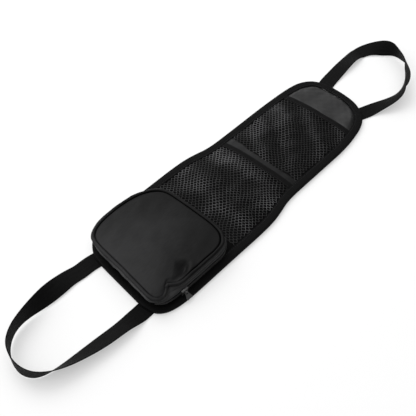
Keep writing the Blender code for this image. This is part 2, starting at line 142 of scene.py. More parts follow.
def smooth_open(points, count):
    """Natural cubic spline through the given rows, all of their columns together."""
    p = np.array(points, float)
    n = len(p)
    t = np.concatenate([[0], np.cumsum(np.linalg.norm(np.diff(p[:, :2], axis=0), axis=1))])
    h = np.diff(t)
    m = np.zeros((n, n))
    r = np.zeros_like(p)
    m[0, 0] = m[-1, -1] = 1
    for i in range(1, n - 1):
        m[i, i - 1 : i + 2] = h[i - 1], 2 * (h[i - 1] + h[i]), h[i]
        r[i] = 6 * ((p[i + 1] - p[i]) / h[i] - (p[i] - p[i - 1]) / h[i - 1])
    c = np.linalg.solve(m, r)
    out = []
    for s in np.linspace(0, t[-1], count):
        i = min(max(int(np.searchsorted(t, s)) - 1, 0), n - 2)
        a, b = t[i + 1] - s, s - t[i]
        out.append(
            (c[i] * a**3 + c[i + 1] * b**3) / (6 * h[i])
            + (p[i] / h[i] - c[i] * h[i] / 6) * a
            + (p[i + 1] / h[i] - c[i + 1] * h[i] / 6) * b
        )
    return np.array(out)


def outward(loop):
    ahead = np.roll(loop, -1, axis=0) - np.roll(loop, 1, axis=0)
    ahead /= np.linalg.norm(ahead, axis=1)[:, None]
    normal = np.stack([ahead[:, 1], -ahead[:, 0]], 1)
    area = 0.5 * np.sum(loop[:, 0] * np.roll(loop[:, 1], -1) - loop[:, 1] * np.roll(loop[:, 0], -1))
    return normal * (1 if area > 0 else -1)


def inset(loop, by):
    return loop - outward(loop) * (by[:, None] if isinstance(by, np.ndarray) else by)


def radius_at(loop, degrees):
    d = loop - np.array(CENTRE)
    angle = np.degrees(np.arctan2(d[:, 1], d[:, 0]))
    order = np.argsort(angle)
    return np.interp(degrees, angle[order], np.linalg.norm(d, axis=1)[order], period=360)


def ease(t):
    t = np.clip(t, 0.0, 1.0)
    return t * t * (3 - 2 * t)


def ripple(x, y, size, seed):
    """A smooth, repeatable unevenness between about -1 and 1."""
    rng = np.random.default_rng(seed)
    total = 0.0
    for _ in range(7):
        a = rng.uniform(0, 2 * math.pi)
        k = 2 * math.pi / (size * rng.uniform(0.7, 1.6))
        total = total + np.sin(k * (x * math.cos(a) + y * math.sin(a)) + rng.uniform(0, 2 * math.pi))
    return total / 3.2


def link(name, mesh, look, body="organizer"):
    piece = bpy.data.objects.new(name, mesh)
    scene.collection.objects.link(piece)
    if look is not None:
        mesh.materials.append(look)
    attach(piece, body)
    return piece


def build(name, points, faces, uv=None, smooth=True):
    """A mesh from points in the drawing's millimetres, faces, and a metric coordinate for each point in centimetres."""
    points = np.asarray(points, float).reshape(-1, 3)
    world = (points - np.array([ORIGIN[0], ORIGIN[1], 0.0])) * MM
    mesh = bpy.data.meshes.new(name)
    mesh.from_pydata(world.tolist(), [], [list(map(int, f)) for f in faces])
    if uv is not None:
        layer = mesh.uv_layers.new(name="metric")
        index = np.zeros(len(mesh.loops), np.int32)
        mesh.loops.foreach_get("vertex_index", index)
        flat = np.asarray(uv, float).reshape(-1, 2)[index] / 10.0
        layer.data.foreach_set("uv", flat.astype(np.float32).ravel())
    mesh.polygons.foreach_set("use_smooth", [smooth] * len(mesh.polygons))
    mesh.update()
    return mesh


def grid_faces(rows, cols, wrap_r=False, wrap_c=False, flip=False):
    r = np.arange(rows if wrap_r else rows - 1)
    c = np.arange(cols if wrap_c else cols - 1)
    R, C = np.meshgrid(r, c, indexing="ij")
    a = R * cols + C
    b = R * cols + (C + 1) % cols
    d = ((R + 1) % rows) * cols + C
    e = ((R + 1) % rows) * cols + (C + 1) % cols
    quads = np.stack([a, b, e, d] if not flip else [a, d, e, b], -1).reshape(-1, 4)
    return quads.tolist()


def run_lengths(P, axis):
    step = np.linalg.norm(np.diff(P, axis=axis), axis=-1)
    zero = np.zeros_like(np.take(step, [0], axis=axis))
    return np.concatenate([zero, np.cumsum(step, axis=axis)], axis=axis)


def thicken(piece, thickness, offset=-1.0):
    solid = piece.modifiers.new("thickness", "SOLIDIFY")
    solid.thickness = thickness * MM
    solid.offset = offset
    solid.use_even_offset = False
    return piece


# Materials


class Look:
    """A Principled material with small helpers to wire its nodes."""

    def __init__(self, name, roughness=0.7, specular=0.3, metallic=0.0, sheen=0.0, sheen_roughness=0.4, coat=0.0):
        self.material = bpy.data.materials.new(name)
        self.material.use_nodes = True
        self.tree = self.material.node_tree
        self.shader = self.tree.nodes["Principled BSDF"]
        for key, value in {
            "Roughness": roughness, "Specular IOR Level": specular, "Metallic": metallic, "Sheen Weight": sheen,
            "Sheen Roughness": sheen_roughness, "Coat Weight": coat, "Coat Roughness": 0.25,
        }.items():
            self.shader.inputs[key].default_value = value
        uv = self.node("ShaderNodeUVMap")
        uv.uv_map = "metric"
        self.uv = uv.outputs["UV"]
        self.where = self.node("ShaderNodeTexCoord").outputs["Object"]

    def node(self, kind, **settings):
        made = self.tree.nodes.new(kind)
        for key, value in settings.items():
            setattr(made, key, value)
        return made

    def join(self, value, socket):
        if isinstance(value, (int, float)):
            socket.default_value = value
        else:
            self.tree.links.new(value, socket)

    def math(self, operation, a, b=0.0, c=0.0):
        made = self.node("ShaderNodeMath", operation=operation)
        for value, socket in zip((a, b, c), made.inputs):
            self.join(value, socket)
        return made.outputs[0]

    def split(self, vector):
        made = self.node("ShaderNodeSeparateXYZ")
        self.join(vector, made.inputs[0])
        return made.outputs[0], made.outputs[1], made.outputs[2]

    def noise(self, scale, detail=3.0, roughness=0.55, vector=None):
        made = self.node("ShaderNodeTexNoise")
        made.inputs["Scale"].default_value = scale
        made.inputs["Detail"].default_value = detail
        made.inputs["Roughness"].default_value = roughness
        self.join(vector or self.where, made.inputs["Vector"])
        return made.outputs["Fac"]

    def ramp(self, value, low, high, to_low, to_high):
        made = self.node("ShaderNodeMapRange")
        made.inputs["From Min"].default_value = low
        made.inputs["From Max"].default_value = high
        made.inputs["To Min"].default_value = to_low
        made.inputs["To Max"].default_value = to_high
        self.join(value, made.inputs["Value"])
        return made.outputs["Result"]

    def tone(self, value, dark, light):
        made = self.node("ShaderNodeMix", data_type="RGBA")
        self.join(value, made.inputs[0])
        made.inputs[6].default_value = (*dark, 1.0)
        made.inputs[7].default_value = (*light, 1.0)
        self.join(made.outputs[2], self.shader.inputs["Base Color"])

    def wave(self, coordinate, pitch_mm):
        """A sine along a coordinate that is in centimetres."""
        return self.math("SINE", self.math("MULTIPLY", coordinate, 2 * math.pi * 10 / pitch_mm))

    def relief(self, height, millimetres, strength=1.0):
        made = self.node("ShaderNodeBump")
        made.inputs["Strength"].default_value = strength
        made.inputs["Distance"].default_value = millimetres * MM
        self.join(height, made.inputs["Height"])
        self.tree.links.new(made.outputs["Normal"], self.shader.inputs["Normal"])

    def rough(self, value, low, high):
        self.join(self.ramp(value, 0.3, 0.7, low, high), self.shader.inputs["Roughness"])


def grey(value, cool=1.03):
    return (value, value, value * cool)


def plain_weave(name, dark, light, pitch, roughness, specular, sheen, relief=0.12, patch=40.0, strength=0.6, painted_shade_lean=0.0):
    look = Look(name, roughness[0], specular, sheen=sheen)
    u, v, _ = look.split(look.uv)
    threads = look.math("MULTIPLY", look.wave(u, pitch * 2), look.wave(v, pitch * 2))
    broad = look.noise(patch, 4.0, 0.6)
    stretched = look.node("ShaderNodeMapping")
    stretched.inputs["Scale"].default_value = (0.6, 9.0, 1.0)
    look.join(look.uv, stretched.inputs["Vector"])
    streak = look.noise(2.2, 3.0, 0.6, stretched.outputs["Vector"])
    fine = look.math("MULTIPLY_ADD", threads, 0.16, look.math("MULTIPLY_ADD", streak, 0.35, look.math("MULTIPLY", broad, 0.6)))
    # painted shade: the tone darkens towards +X and lightens towards -X
    if painted_shade_lean:
        fine = look.math("MULTIPLY_ADD", look.split(look.where)[0], -painted_shade_lean, fine)
    look.tone(look.ramp(fine, 0.25, 0.75, 0.0, 1.0), dark, light)
    look.rough(broad, *roughness)
    height = look.math("MULTIPLY_ADD", look.noise(420, 2.0), 0.6, threads)
    look.relief(height, relief, strength)
    return look.material


def weave_with_painted_light(name, dark, light, pitch, roughness, specular, relief=0.1):
    """Plain weave whose tone varies unevenly at random, with painted light over it: lighter towards -Y, and painted
    shade darker towards +X and towards the -X side.
    """
    look = Look(name, roughness[0], specular)
    u, v, _ = look.split(look.uv)
    x, y, _ = look.split(look.where)
    threads = look.math("MULTIPLY", look.wave(u, pitch * 2), look.wave(v, pitch * 2))
    stretched = look.node("ShaderNodeMapping")
    stretched.inputs["Rotation"].default_value = (0.0, 0.0, 0.75)
    stretched.inputs["Scale"].default_value = (9.0, 0.7, 1.0)
    look.join(look.uv, stretched.inputs["Vector"])
    streak = look.noise(1.1, 3.0, 0.6, stretched.outputs["Vector"])
    broad = look.noise(26, 3.0, 0.55)
    # painted shade: darker towards +X and towards the -X side; painted light: lighter towards -Y
    right = look.math("MULTIPLY", look.math("MAXIMUM", look.math("ADD", x, 0.012), 0.0), -7.0)
    left = look.math("MULTIPLY", look.math("MAXIMUM", look.math("MULTIPLY_ADD", x, -1.0, -0.015), 0.0), -6.0)
    near = look.math("MULTIPLY_ADD", look.math("ADD", y, 0.158), -6.6, look.math("ADD", right, left))
    uneven = look.math("MULTIPLY_ADD", look.math("SUBTRACT", streak, 0.5), 0.75,
                       look.math("MULTIPLY", look.math("SUBTRACT", broad, 0.5), 0.9))
    level = look.math("ADD", look.math("ADD", near, uneven), look.math("MULTIPLY_ADD", threads, 0.07, 0.52))
    look.tone(look.ramp(level, 0.0, 1.0, 0.0, 1.0), dark, light)
    look.rough(broad, *roughness)
    height = look.math("MULTIPLY_ADD", look.noise(420, 2.0), 0.6, threads)
    look.relief(height, relief, 0.5)
    return look.material


def knitted(name, dark, light, roughness, specular, lie):
    """Filament yarn of a net. Its tone follows the net's soft waves as painted highlight and shade, and painted shade
    darkens it towards +X.
    """
    look = Look(name, roughness[0], specular)
    u, v, _ = look.split(look.uv)
    x, y, _ = look.split(look.where)
    kx, ky, at, period = lie
    q = look.math("MULTIPLY_ADD", x, kx * 1000.0, look.math("MULTIPLY", y, ky * 1000.0))
    phase = look.math("MULTIPLY", look.math("SUBTRACT", q, at - kx * ORIGIN[0] - ky * ORIGIN[1]), 2 * math.pi / period)
    warp = look.noise(14, 2.0, 0.5)
    # painted highlight and shade in bands along the net's waves
    painted_wave_light = look.math("COSINE", look.math("MULTIPLY_ADD", look.math("SUBTRACT", warp, 0.5), 5.0, phase))
    patch = look.noise(24, 2.0, 0.5)
    twist = look.wave(look.math("ADD", u, v), 0.9)
    # painted shade: the yarn darkens towards +X
    level = look.math("MULTIPLY_ADD", look.math("SUBTRACT", patch, 0.5), 2.2, look.math("MULTIPLY", x, -4.5))
    level = look.math("ADD", level, look.math("MULTIPLY_ADD", painted_wave_light, 0.34, 0.36))
    level = look.math("ADD", level, look.math("MULTIPLY", twist, 0.06))
    level = look.math("POWER", look.math("MAXIMUM", look.math("MINIMUM", level, 1.0), 0.0), 1.7)
    look.tone(level, dark, light)
    look.join(look.ramp(patch, 0.35, 0.65, roughness[1], roughness[0]), look.shader.inputs["Roughness"])
    look.relief(twist, 0.08, 0.6)
    return look.material


def ribbed(name, dark, light, rib, roughness, specular, sheen, relief=0.25, edges=None):
    """Narrow woven tape: ribs across it, and a finer weave along them. edges, the tape's width for its selvedges, is
    not used.
    """
    look = Look(name, roughness[0], specular, sheen=sheen)
    u, v, _ = look.split(look.uv)
    ribs = look.math("ABSOLUTE", look.wave(v, rib * 2))
    cross = look.math("MULTIPLY", look.wave(u, rib * 1.4), look.wave(v, rib * 2))
    broad = look.noise(55, 3.0)
    mixed = look.math("MULTIPLY_ADD", ribs, 0.3, look.math("MULTIPLY", broad, 0.7))
    look.tone(look.ramp(mixed, 0.2, 0.85, 0.0, 1.0), dark, light)
    look.rough(broad, *roughness)
    height = look.math("MULTIPLY_ADD", cross, 0.35, look.math("MULTIPLY_ADD", look.noise(600, 2.0), 0.4, ribs))
    look.relief(height, relief, 0.7)
    return look.material


def herringbone(name, dark, light, roughness, specular, sheen):
    look = Look(name, roughness[0], specular, sheen=sheen)
    u, v, _ = look.split(look.uv)
    column = look.math("PINGPONG", look.math("ADD", u, 20.0), 0.3125)
    slant = look.math("ADD", look.math("MULTIPLY", column, 1.3), v)
    twill = look.wave(slant, 1.7)
    broad = look.noise(45, 3.0)
    mixed = look.math("MULTIPLY_ADD", twill, 0.16, look.math("MULTIPLY", broad, 0.8))
    look.tone(look.ramp(mixed, 0.15, 0.75, 0.0, 1.0), dark, light)
    look.rough(broad, *roughness)
    look.relief(look.math("MULTIPLY_ADD", look.noise(700, 2.0), 0.4, twill), 0.22, 0.7)
    return look.material


# the pocket's nylon carries painted light and shade across the panel and rim
NYLON = weave_with_painted_light("pocket_nylon_look", grey(0.0006), grey(0.0190), 0.55, (0.40, 0.50), 0.095)
GUSSET = plain_weave("gusset_nylon_look", grey(0.010), grey(0.020), 0.55, (0.40, 0.52), 0.25, 0.0)
# painted light: a lighter copy of the gusset cloth for the outer end, which lies in shade under the rim
GUSSET_END_PAINTED_LIGHT = plain_weave("gusset_end_painted_light_look", grey(0.022), grey(0.055), 0.55, (0.40, 0.52), 0.3, 0.0)
SATIN = plain_weave("lining_satin_look", grey(0.006), grey(0.0115), 0.3, (0.30, 0.40), 0.24, 0.0, 0.05, 22.0, 0.4)
# the hem's last argument is painted shade, darker towards +X
HEM = plain_weave("lining_hem_look", grey(0.001), grey(0.014), 0.3, (0.42, 0.55), 0.12, 0.0, 0.05, 22.0, 0.4, 5.0)
# painted shade: a darker copy of the satin for the lining under the nets, where the nets shade it
PAINTED_NET_SHADE = plain_weave("lining_painted_net_shade_look", grey(0.0009), grey(0.0022), 0.4, (0.6, 0.75), 0.035, 0.0, 0.05, 22.0, 0.4)
BACK = plain_weave("back_cloth_look", grey(0.009), grey(0.016), 0.8, (0.8, 0.92), 0.12, 0.02, 0.2, 30.0)
BINDING = ribbed("binding_look", grey(0.0016), grey(0.0042), 0.75, (0.55, 0.7), 0.055, 0.0)
WEBBING = herringbone("webbing_look", grey(0.0016), grey(0.0044), (0.55, 0.7), 0.06, 0.0)
LIE_UP, LIE_LOW = (0.657, 0.754, 130.0, 42.0), (0.13, 1.0, 12.0, 64.0)
YARN_UP = knitted("net_yarn_upper_look", grey(0.0010), grey(0.075), (0.26, 0.45), 0.34, LIE_UP)
YARN_LOW = knitted("net_yarn_lower_look", grey(0.0010), grey(0.105), (0.26, 0.45), 0.38, LIE_LOW)
ZIP_TAPE = ribbed("zip_tape_look", grey(0.003), grey(0.006), 0.6, (0.75, 0.85), 0.08, 0.0)
THREAD = ribbed("thread_look", grey(0.008), grey(0.016), 0.4, (0.5, 0.6), 0.25, 0.0, 0.08)


def moulded(name, base, roughness, specular):
    look = Look(name, roughness[0], specular)
    broad = look.noise(220, 3.0)
    look.tone(broad, grey(base * 0.8, 1.0), grey(base * 1.2, 1.0))
    look.rough(broad, *roughness)
    look.relief(look.noise(1500, 2.0), 0.02, 0.4)
    return look.material


def lacquer(name, base, roughness):
    look = Look(name, roughness[0], 0.5, metallic=0.6, coat=0.35)
    # painted highlights: lighter patches over the lacquer, which also vary its roughness
    painted_glint_patches = look.noise(900, 4.0, 0.7)
    look.tone(look.ramp(painted_glint_patches, 0.45, 0.75, 0.0, 1.0), grey(base, 1.0), grey(base * 2.2, 1.0))
    look.rough(painted_glint_patches, *roughness)
    look.relief(look.noise(2500, 3.0), 0.015, 0.4)
    return look.material


COIL = moulded("zip_coil_look", 0.022, (0.28, 0.4), 0.5)
METAL = lacquer("zip_metal_look", 0.055, (0.26, 0.42))


def foam_look():
    look = Look("foam_look", 0.95, 0.2)
    cells = look.noise(1400, 3.0, 0.7)
    look.tone(cells, grey(0.22), grey(0.32))
    look.relief(cells, 0.2, 0.6)
    return look.material


FOAM = foam_look()

# Webbing loops


def webbing_rows(route, side, count):
    p = smooth_open(route, count)
    ahead = np.gradient(p[:, :2], axis=0)
    ahead /= np.linalg.norm(ahead, axis=1)[:, None]
    out = side * np.stack([-ahead[:, 1], ahead[:, 0]], 1)
    roll = np.radians(p[:, 2])
    rise = np.abs(np.sin(roll)) * WEB_W / 2 + np.maximum(p[:, 3], 0) + WEB_T / 2 + 0.1
    middle = np.column_stack([p[:, :2], rise])
    reach = np.column_stack([out * np.cos(roll)[:, None], np.sin(roll)])
    return middle, reach


def webbing(name, route, side, node):
    count = 260
    middle, reach = webbing_rows(route, side, count)
    along = np.gradient(middle, axis=0)
    along /= np.linalg.norm(along, axis=1)[:, None]
    reach = reach - along * np.sum(reach * along, axis=1)[:, None]
    reach /= np.linalg.norm(reach, axis=1)[:, None]
    face = np.cross(along, reach)
    half, thick = WEB_W / 2, WEB_T / 2
    edge = [(half, 0.0), (half - 0.15, 0.35), (half - 0.5, 0.55), (half - 1.2, 0.62)]
    top = edge + [(s, thick) for s in np.linspace(half - 3, -half + 3, 11)] + [(-s, t) for s, t in reversed(edge)]
    section = np.array(top + [(-s, -t) for s, t in top[1:-1]])
    P = (
        middle[:, None, :]
        + reach[:, None, :] * section[None, :, 0, None]
        + face[:, None, :] * section[None, :, 1, None]
    )
    run = np.concatenate([[0], np.cumsum(np.linalg.norm(np.diff(middle, axis=0), axis=1))])
    uv = np.stack(np.broadcast_arrays(section[None, :, 0], run[:, None]), -1)
    n = len(section)
    faces = grid_faces(count, n, wrap_c=True)
    faces += [list(range(n)), [(count - 1) * n + i for i in reversed(range(n))]]
    piece = link(name, build(name, P, faces, uv), WEBBING)
    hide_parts(node)
    return run[-1]


floor = bpy.data.objects.new("floor", bpy.data.meshes.new("floor"))
scene.collection.objects.link(floor)
floor.data.from_pydata([(-9, -9, -0.0005), (9, -9, -0.0005), (9, 9, -0.0005), (-9, 9, -0.0005)], [], [(0, 1, 2, 3)])
ground = bpy.data.materials.new("floor_look")
ground.use_nodes = True
ground.node_tree.nodes["Principled BSDF"].inputs["Base Color"].default_value = (0.47, 0.47, 0.47, 1)
ground.node_tree.nodes["Principled BSDF"].inputs["Emission Color"].default_value = (1, 1, 1, 1)
ground.node_tree.nodes["Principled BSDF"].inputs["Emission Strength"].default_value = 0.425
ground.node_tree.nodes["Principled BSDF"].inputs["Roughness"].default_value = 1.0
ground.node_tree.nodes["Principled BSDF"].inputs["Specular IOR Level"].default_value = 0.0
floor.data.materials.append(ground)

webbing("webbing_upper", TOP_LOOP, 1, "top_strap_loop")
webbing("webbing_lower", BOTTOM_LOOP, -1, "bottom_strap_loop")

# Edge binding: one tape folded round the panel, with a sewn line along each of its turns

outline = smooth_closed(OUTLINE, 640)
perimeter = np.concatenate([[0], np.cumsum(np.linalg.norm(np.diff(outline, axis=0), axis=1))])


def tail_lift(x, y):
    """Where a webbing end lies under the panel, the binding's lower turn is raised over it."""
    lift = np.zeros_like(x)
    for (ax, ay, *_), (bx, by, *_) in (
        (TOP_LOOP[0], TOP_LOOP[1]), (TOP_LOOP[-1], TOP_LOOP[-2]),
        (BOTTOM_LOOP[0], BOTTOM_LOOP[1]), (BOTTOM_LOOP[-1], BOTTOM_LOOP[-2]),
    ):
        d = np.array([bx - ax, by - ay], float)
        d /= np.linalg.norm(d)
        s = (x - ax) * d[0] + (y - ay) * d[1]
        w = np.abs(-(x - ax) * d[1] + (y - ay) * d[0])
        lift = np.maximum(lift, ease((WEB_W / 2 + 3.0 - w) / 2.5) * ease((s + 3.0) / 2.5) * ease((40 - s) / 3))
    return lift


def binding_surface():
    section = [
        (BIND_W - 0.2, 0.9), (BIND_W, 0.3), (BIND_W - 0.5, 0.02), (10.6, 0.02), (10.2, 0.12), (9.8, 0.02), (6.5, 0.0),
        (3.0, 0.02), (1.3, 0.2), (0.5, 0.75), (0.12, 1.6), (0.0, 2.9), (0.12, 4.2), (0.5, 5.05), (1.3, 5.6),
        (3.0, EDGE_H), (6.0, EDGE_H + 0.08), (9.4, EDGE_H), (10.1, EDGE_H - 0.12), (10.8, EDGE_H - 0.02),
        (11.7, EDGE_H), (BIND_W - 0.1, EDGE_H - 0.2), (BIND_W + 0.1, EDGE_H - 0.7), (BIND_W - 0.2, EDGE_H - 1.2),
    ]
    x, y = outline[:, 0], outline[:, 1]
    wobble = 0.35 * ripple(x, y, 46, 3) + 0.15 * ripple(x, y, 11, 4)
    puff = 0.16 * ripple(x, y, 22, 5) + 0.1 * ripple(x, y, 7, 6)
    rows = []
    for by, z in section:
        t = by / BIND_W
        ring = inset(outline, by + wobble * t)
        height = z + (puff * t if z > 3 else 0.0) + (1.75 * tail_lift(ring[:, 0], ring[:, 1]) if z < 1.0 else 0.0)
        rows.append(np.column_stack([ring, np.broadcast_to(height, len(ring))]))
    P = np.stack(rows)
    across = run_lengths(P, 0)
    uv = np.stack([across, np.broadcast_to(perimeter[None, :], across.shape)], -1)
    count = len(outline)
    # a seam column, so that the metric coordinate doesn't run backwards where the loop closes
    P = np.concatenate([P, P[:, :1]], axis=1)
    uv = np.concatenate([uv, uv[:, :1] + np.array([0, perimeter[-1] + 2.0])], axis=1)
    mesh = build("edge_binding_tape", P, grid_faces(len(section), count + 1, flip=True), uv)
    piece = link("edge_binding_tape", mesh, BINDING)
    thicken(piece, 0.7)
    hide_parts("edge_binding")
    return piece, across[-1].max(), wobble, puff


def stitches(name, line, length, pitch, radius, up=(0, 0, 1), closed=False, look=None):
    """A sewn line: each stitch is a short thread that dips into the cloth at both ends."""
    line = np.asarray(line, float)
    if closed:
        line = np.concatenate([line, line[:1]])
    run = np.concatenate([[0], np.cumsum(np.linalg.norm(np.diff(line, axis=0), axis=1))])
    starts = np.arange(pitch / 2, run[-1] - pitch / 2, pitch)
    up = np.asarray(up, float)
    points, faces, uv = [], [], []
    for at in starts:
        base = len(points)
        for k, (t, dip, r) in enumerate(((-0.5, 0.45, 0.6), (-0.3, 0.0, 1.0), (0.3, 0.0, 1.0), (0.5, 0.45, 0.6))):
            s = at + t * length
            here = np.array([np.interp(s, run, line[:, i]) for i in range(3)])
            near = np.array([np.interp(s + 0.5, run, line[:, i]) for i in range(3)])
            ahead = near - here
            ahead /= max(np.linalg.norm(ahead), 1e-9)
            side = np.cross(up, ahead)
            side /= np.linalg.norm(side)
            for a in range(5):
                q = 2 * math.pi * a / 5
                points.append(here - up * dip * radius * 2 + (side * math.cos(q) + up * math.sin(q)) * radius * r)
                uv.append((a * radius, s))
        for k in range(3):
            for a in range(5):
                b = (a + 1) % 5
                faces.append([base + k * 5 + a, base + k * 5 + b, base + k * 5 + 5 + b, base + k * 5 + 5 + a])
        faces.append([base + a for a in reversed(range(5))])
        faces.append([base + 15 + a for a in range(5)])
    mesh = build(name, points, faces, uv)
    return link(name, mesh, look or THREAD)


binding_piece, binding_width, wobble, puff = binding_surface()
sewn = inset(outline, 10.15 + wobble * 0.8)
binding_thread = stitches(
    "binding_stitches", np.column_stack([sewn, EDGE_H - 0.02 + puff * 0.8]), 2.5, 3.6, 0.26, closed=True
)

# Panel cloths
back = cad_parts["rear_panel_fabric"]
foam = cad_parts["foam_core"]
for node, look in (("rear_panel_fabric", BACK), ("foam_core", FOAM), ("zipper_slider", METAL), ("zipper_pull", METAL)):
    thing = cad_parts[node]
    thing.data.materials.clear()
    thing.data.materials.append(look)

inner = inset(outline, BIND_W - 1.2)


def half_width(loop, y):
    right = loop[loop[:, 0] > 0]
    left = loop[loop[:, 0] < 0]
    right = right[np.argsort(right[:, 1])]
    left = left[np.argsort(left[:, 1])]
    return np.interp(y, left[:, 1], left[:, 0]), np.interp(y, right[:, 1], right[:, 0])


def distance_to(loop, x, y):
    """Distance from each point to the nearest point of a loop."""
    near = np.full(np.shape(x), 1e9)
    for px, py in loop[::2]:
        near = np.minimum(near, (x - px) ** 2 + (y - py) ** 2)
    return np.sqrt(near)


def lining_height(x, y):
    edge = distance_to(outline, x, y) - BIND_W
    bare = ease((y - 250) / 12)
    welt = ease((y - 108) / 3) * ease((128 - y) / 6)
    swell = 0.9 + 1.9 * bare + 0.5 * welt
    waves = 0.35 * ripple(x, y, 34, 11) + 0.12 * ripple(x, y, 12, 12) + 0.8 * bare * ripple(x, y, 46, 14)
    pucker = 0.85 * bare * ripple(x, y, 13, 13) * np.exp(-np.maximum(edge, 0) / 8.0)
    under = LINING_TOP - 0.3
    return under + (swell + waves * (0.6 + 0.8 * bare) + pucker) * ease((edge + 1.0) / 7.5) ** 0.7


def lining_surface():
    top, bottom = 307.2, -162.0
    t = np.linspace(0, 1, 330)
    ys = bottom + (top - bottom) * (t + 0.0)
    ys = np.unique(np.concatenate([ys, np.linspace(296, 307.2, 24)]))
    u = np.linspace(0, 1, 90)
    P = []
    for y in ys:
        low, high = half_width(inner, y)
        x = low + (high - low) * u
        P.append(np.column_stack([x, np.full_like(x, y), lining_height(x, np.full_like(x, y))]))
    P = np.stack(P)
    mesh = build("front_lining_satin", P, grid_faces(len(ys), 90), P[..., :2])
    piece = link("front_lining_satin", mesh, SATIN)
    # painted shade: the lining below y 253, under the nets, gets the darker copy
    mesh.materials.append(PAINTED_NET_SHADE)
    middle = np.array([[v for v in face.center] for face in mesh.polygons])[:, 1] / MM + ORIGIN[1]
    mesh.polygons.foreach_set("material_index", (middle < 253.0).astype(np.int32))
    thicken(piece, 0.4)
    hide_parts("front_panel_lining")


lining_surface()

# Mesh pockets
side_edge = inset(outline, BIND_W + 0.1)


def net_surface(x, y, mouth, seam):
    """Height of a mesh pocket above the floor, over points of the drawing."""
    low, high = half_width(side_edge, y)
    u = np.clip((x - low) / (high - low), 0, 1)
    t = np.clip((mouth - y) / (mouth - seam), 0, 1)
    swell = (1 - np.abs(2 * u - 1) ** 3.0) ** 0.9
    rise = (3.6 + 2.4 * np.sin(np.pi * np.minimum(t * 1.2, 1.0))) * (1 - t**4)
    kx, ky, at, period = LIE_UP if mouth > 200 else LIE_LOW
    flow = kx * x + ky * y - at + 5 * ripple(x, y, 70, 22)
    waves = 1.9 * np.sin(2 * np.pi * flow / period) + 0.8 * ripple(x, y, 24, 21)
    return NET_Z + swell * (rise + waves * np.minimum(1, 4 * t) * (1 - t**6))


def net(name, mouth, seam, node, seed, look):
    """An open knitted mesh: short joints with two slanting yarns leaving each of their ends."""
    a, b, joint = 6.06, 7.2, 1.3
    top = mouth - 2.0
    rows = int((top - seam) / (b / 2)) + 2
    cols = int(180 / a) + 2
    P0, P1, width = [], [], []
    for j in range(rows):
        v = seam - 1.0 + j * b / 2
        shift = (j % 2) * a / 2
        for i in range(-cols // 2, cols // 2 + 1):
            u = i * a + shift
            P0.append((u, v - joint / 2)); P1.append((u, v + joint / 2)); width.append(0.66)
            for s in (-1, 1):
                P0.append((u, v + joint / 2)); P1.append((u + s * a / 2, v + b / 2 - joint / 2)); width.append(0.42)
    P0, P1, width = np.array(P0), np.array(P1), np.array(width)

    def warp(p):
        x, y = p[..., 0], p[..., 1]
        return (
            x + 0.045 * (y - seam) + 1.3 * ripple(x, y, 60, seed) + 0.35 * ripple(x, y, 17, seed + 1),
            y + 1.0 * ripple(x, y, 55, seed + 2) + 0.3 * ripple(x, y, 15, seed + 3),
        )

    steps = np.array([-0.06, 0.2, 0.5, 0.8, 1.06])
    flat = P0[:, None, :] + (P1 - P0)[:, None, :] * steps[None, :, None]
    x, y = warp(flat)
    low, high = half_width(side_edge, y)
    keep = (x > low - 1.0).all(1) & (x < high + 1.0).all(1) & (y < top + 1.5).all(1) & (y > seam - 0.5).all(1)
    x, y, width = x[keep], y[keep], width[keep]
    z = net_surface(x, y, mouth, seam)
    step = 0.5
    nx = -(net_surface(x + step, y, mouth, seam) - net_surface(x - step, y, mouth, seam)) / (2 * step)
    ny = -(net_surface(x, y + step, mouth, seam) - net_surface(x, y - step, mouth, seam)) / (2 * step)
    normal = np.stack([nx, ny, np.ones_like(nx)], -1)
    normal /= np.linalg.norm(normal, axis=-1)[..., None]
    line = np.stack([x, y, z], -1)
    line += normal * (0.12 * np.sin(np.pi * np.clip(steps, 0, 1)))[None, :, None]
    ahead = np.gradient(line, axis=1)
    ahead /= np.linalg.norm(ahead, axis=-1)[..., None]
    side = np.cross(normal, ahead)
    sides = 6
    angles = 2 * np.pi * np.arange(sides) / sides
    wide = width[:, None, None, None] * np.cos(angles)[None, None, :, None]
    tall = 0.3 * np.sin(angles)[None, None, :, None]
    ring = line[:, :, None, :] + side[:, :, None, :] * wide + normal[:, :, None, :] * tall
    n, m = ring.shape[0], ring.shape[1]
    faces = []
    one = np.array(grid_faces(m, sides, wrap_c=True))
    base = (np.arange(n) * m * sides)[:, None, None]
    faces += (one[None] + base).reshape(-1, 4).tolist()
    for k in range(n):
        s = k * m * sides
        faces.append([s + i for i in reversed(range(sides))])
        faces.append([s + (m - 1) * sides + i for i in range(sides)])
    uv = np.stack(np.broadcast_arrays(
        (angles * 0.5)[None, None, :], (steps * 4.0)[None, :, None] + np.arange(n)[:, None, None] * 1.7
    ), -1)
    mesh = build(name, ring, faces, uv)
    piece = link(name, mesh, look)
    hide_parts(node)
    low, high = half_width(side_edge, (mouth + seam) / 2)
    return piece, high - low + 4.0, mouth - seam + 4.0


upper_net = net("net_upper", 256.0, 119.0, "upper_mesh_pocket", 31, YARN_UP)
lower_net = net("net_lower", 110.0, -28.0, "lower_mesh_pocket", 41, YARN_LOW)


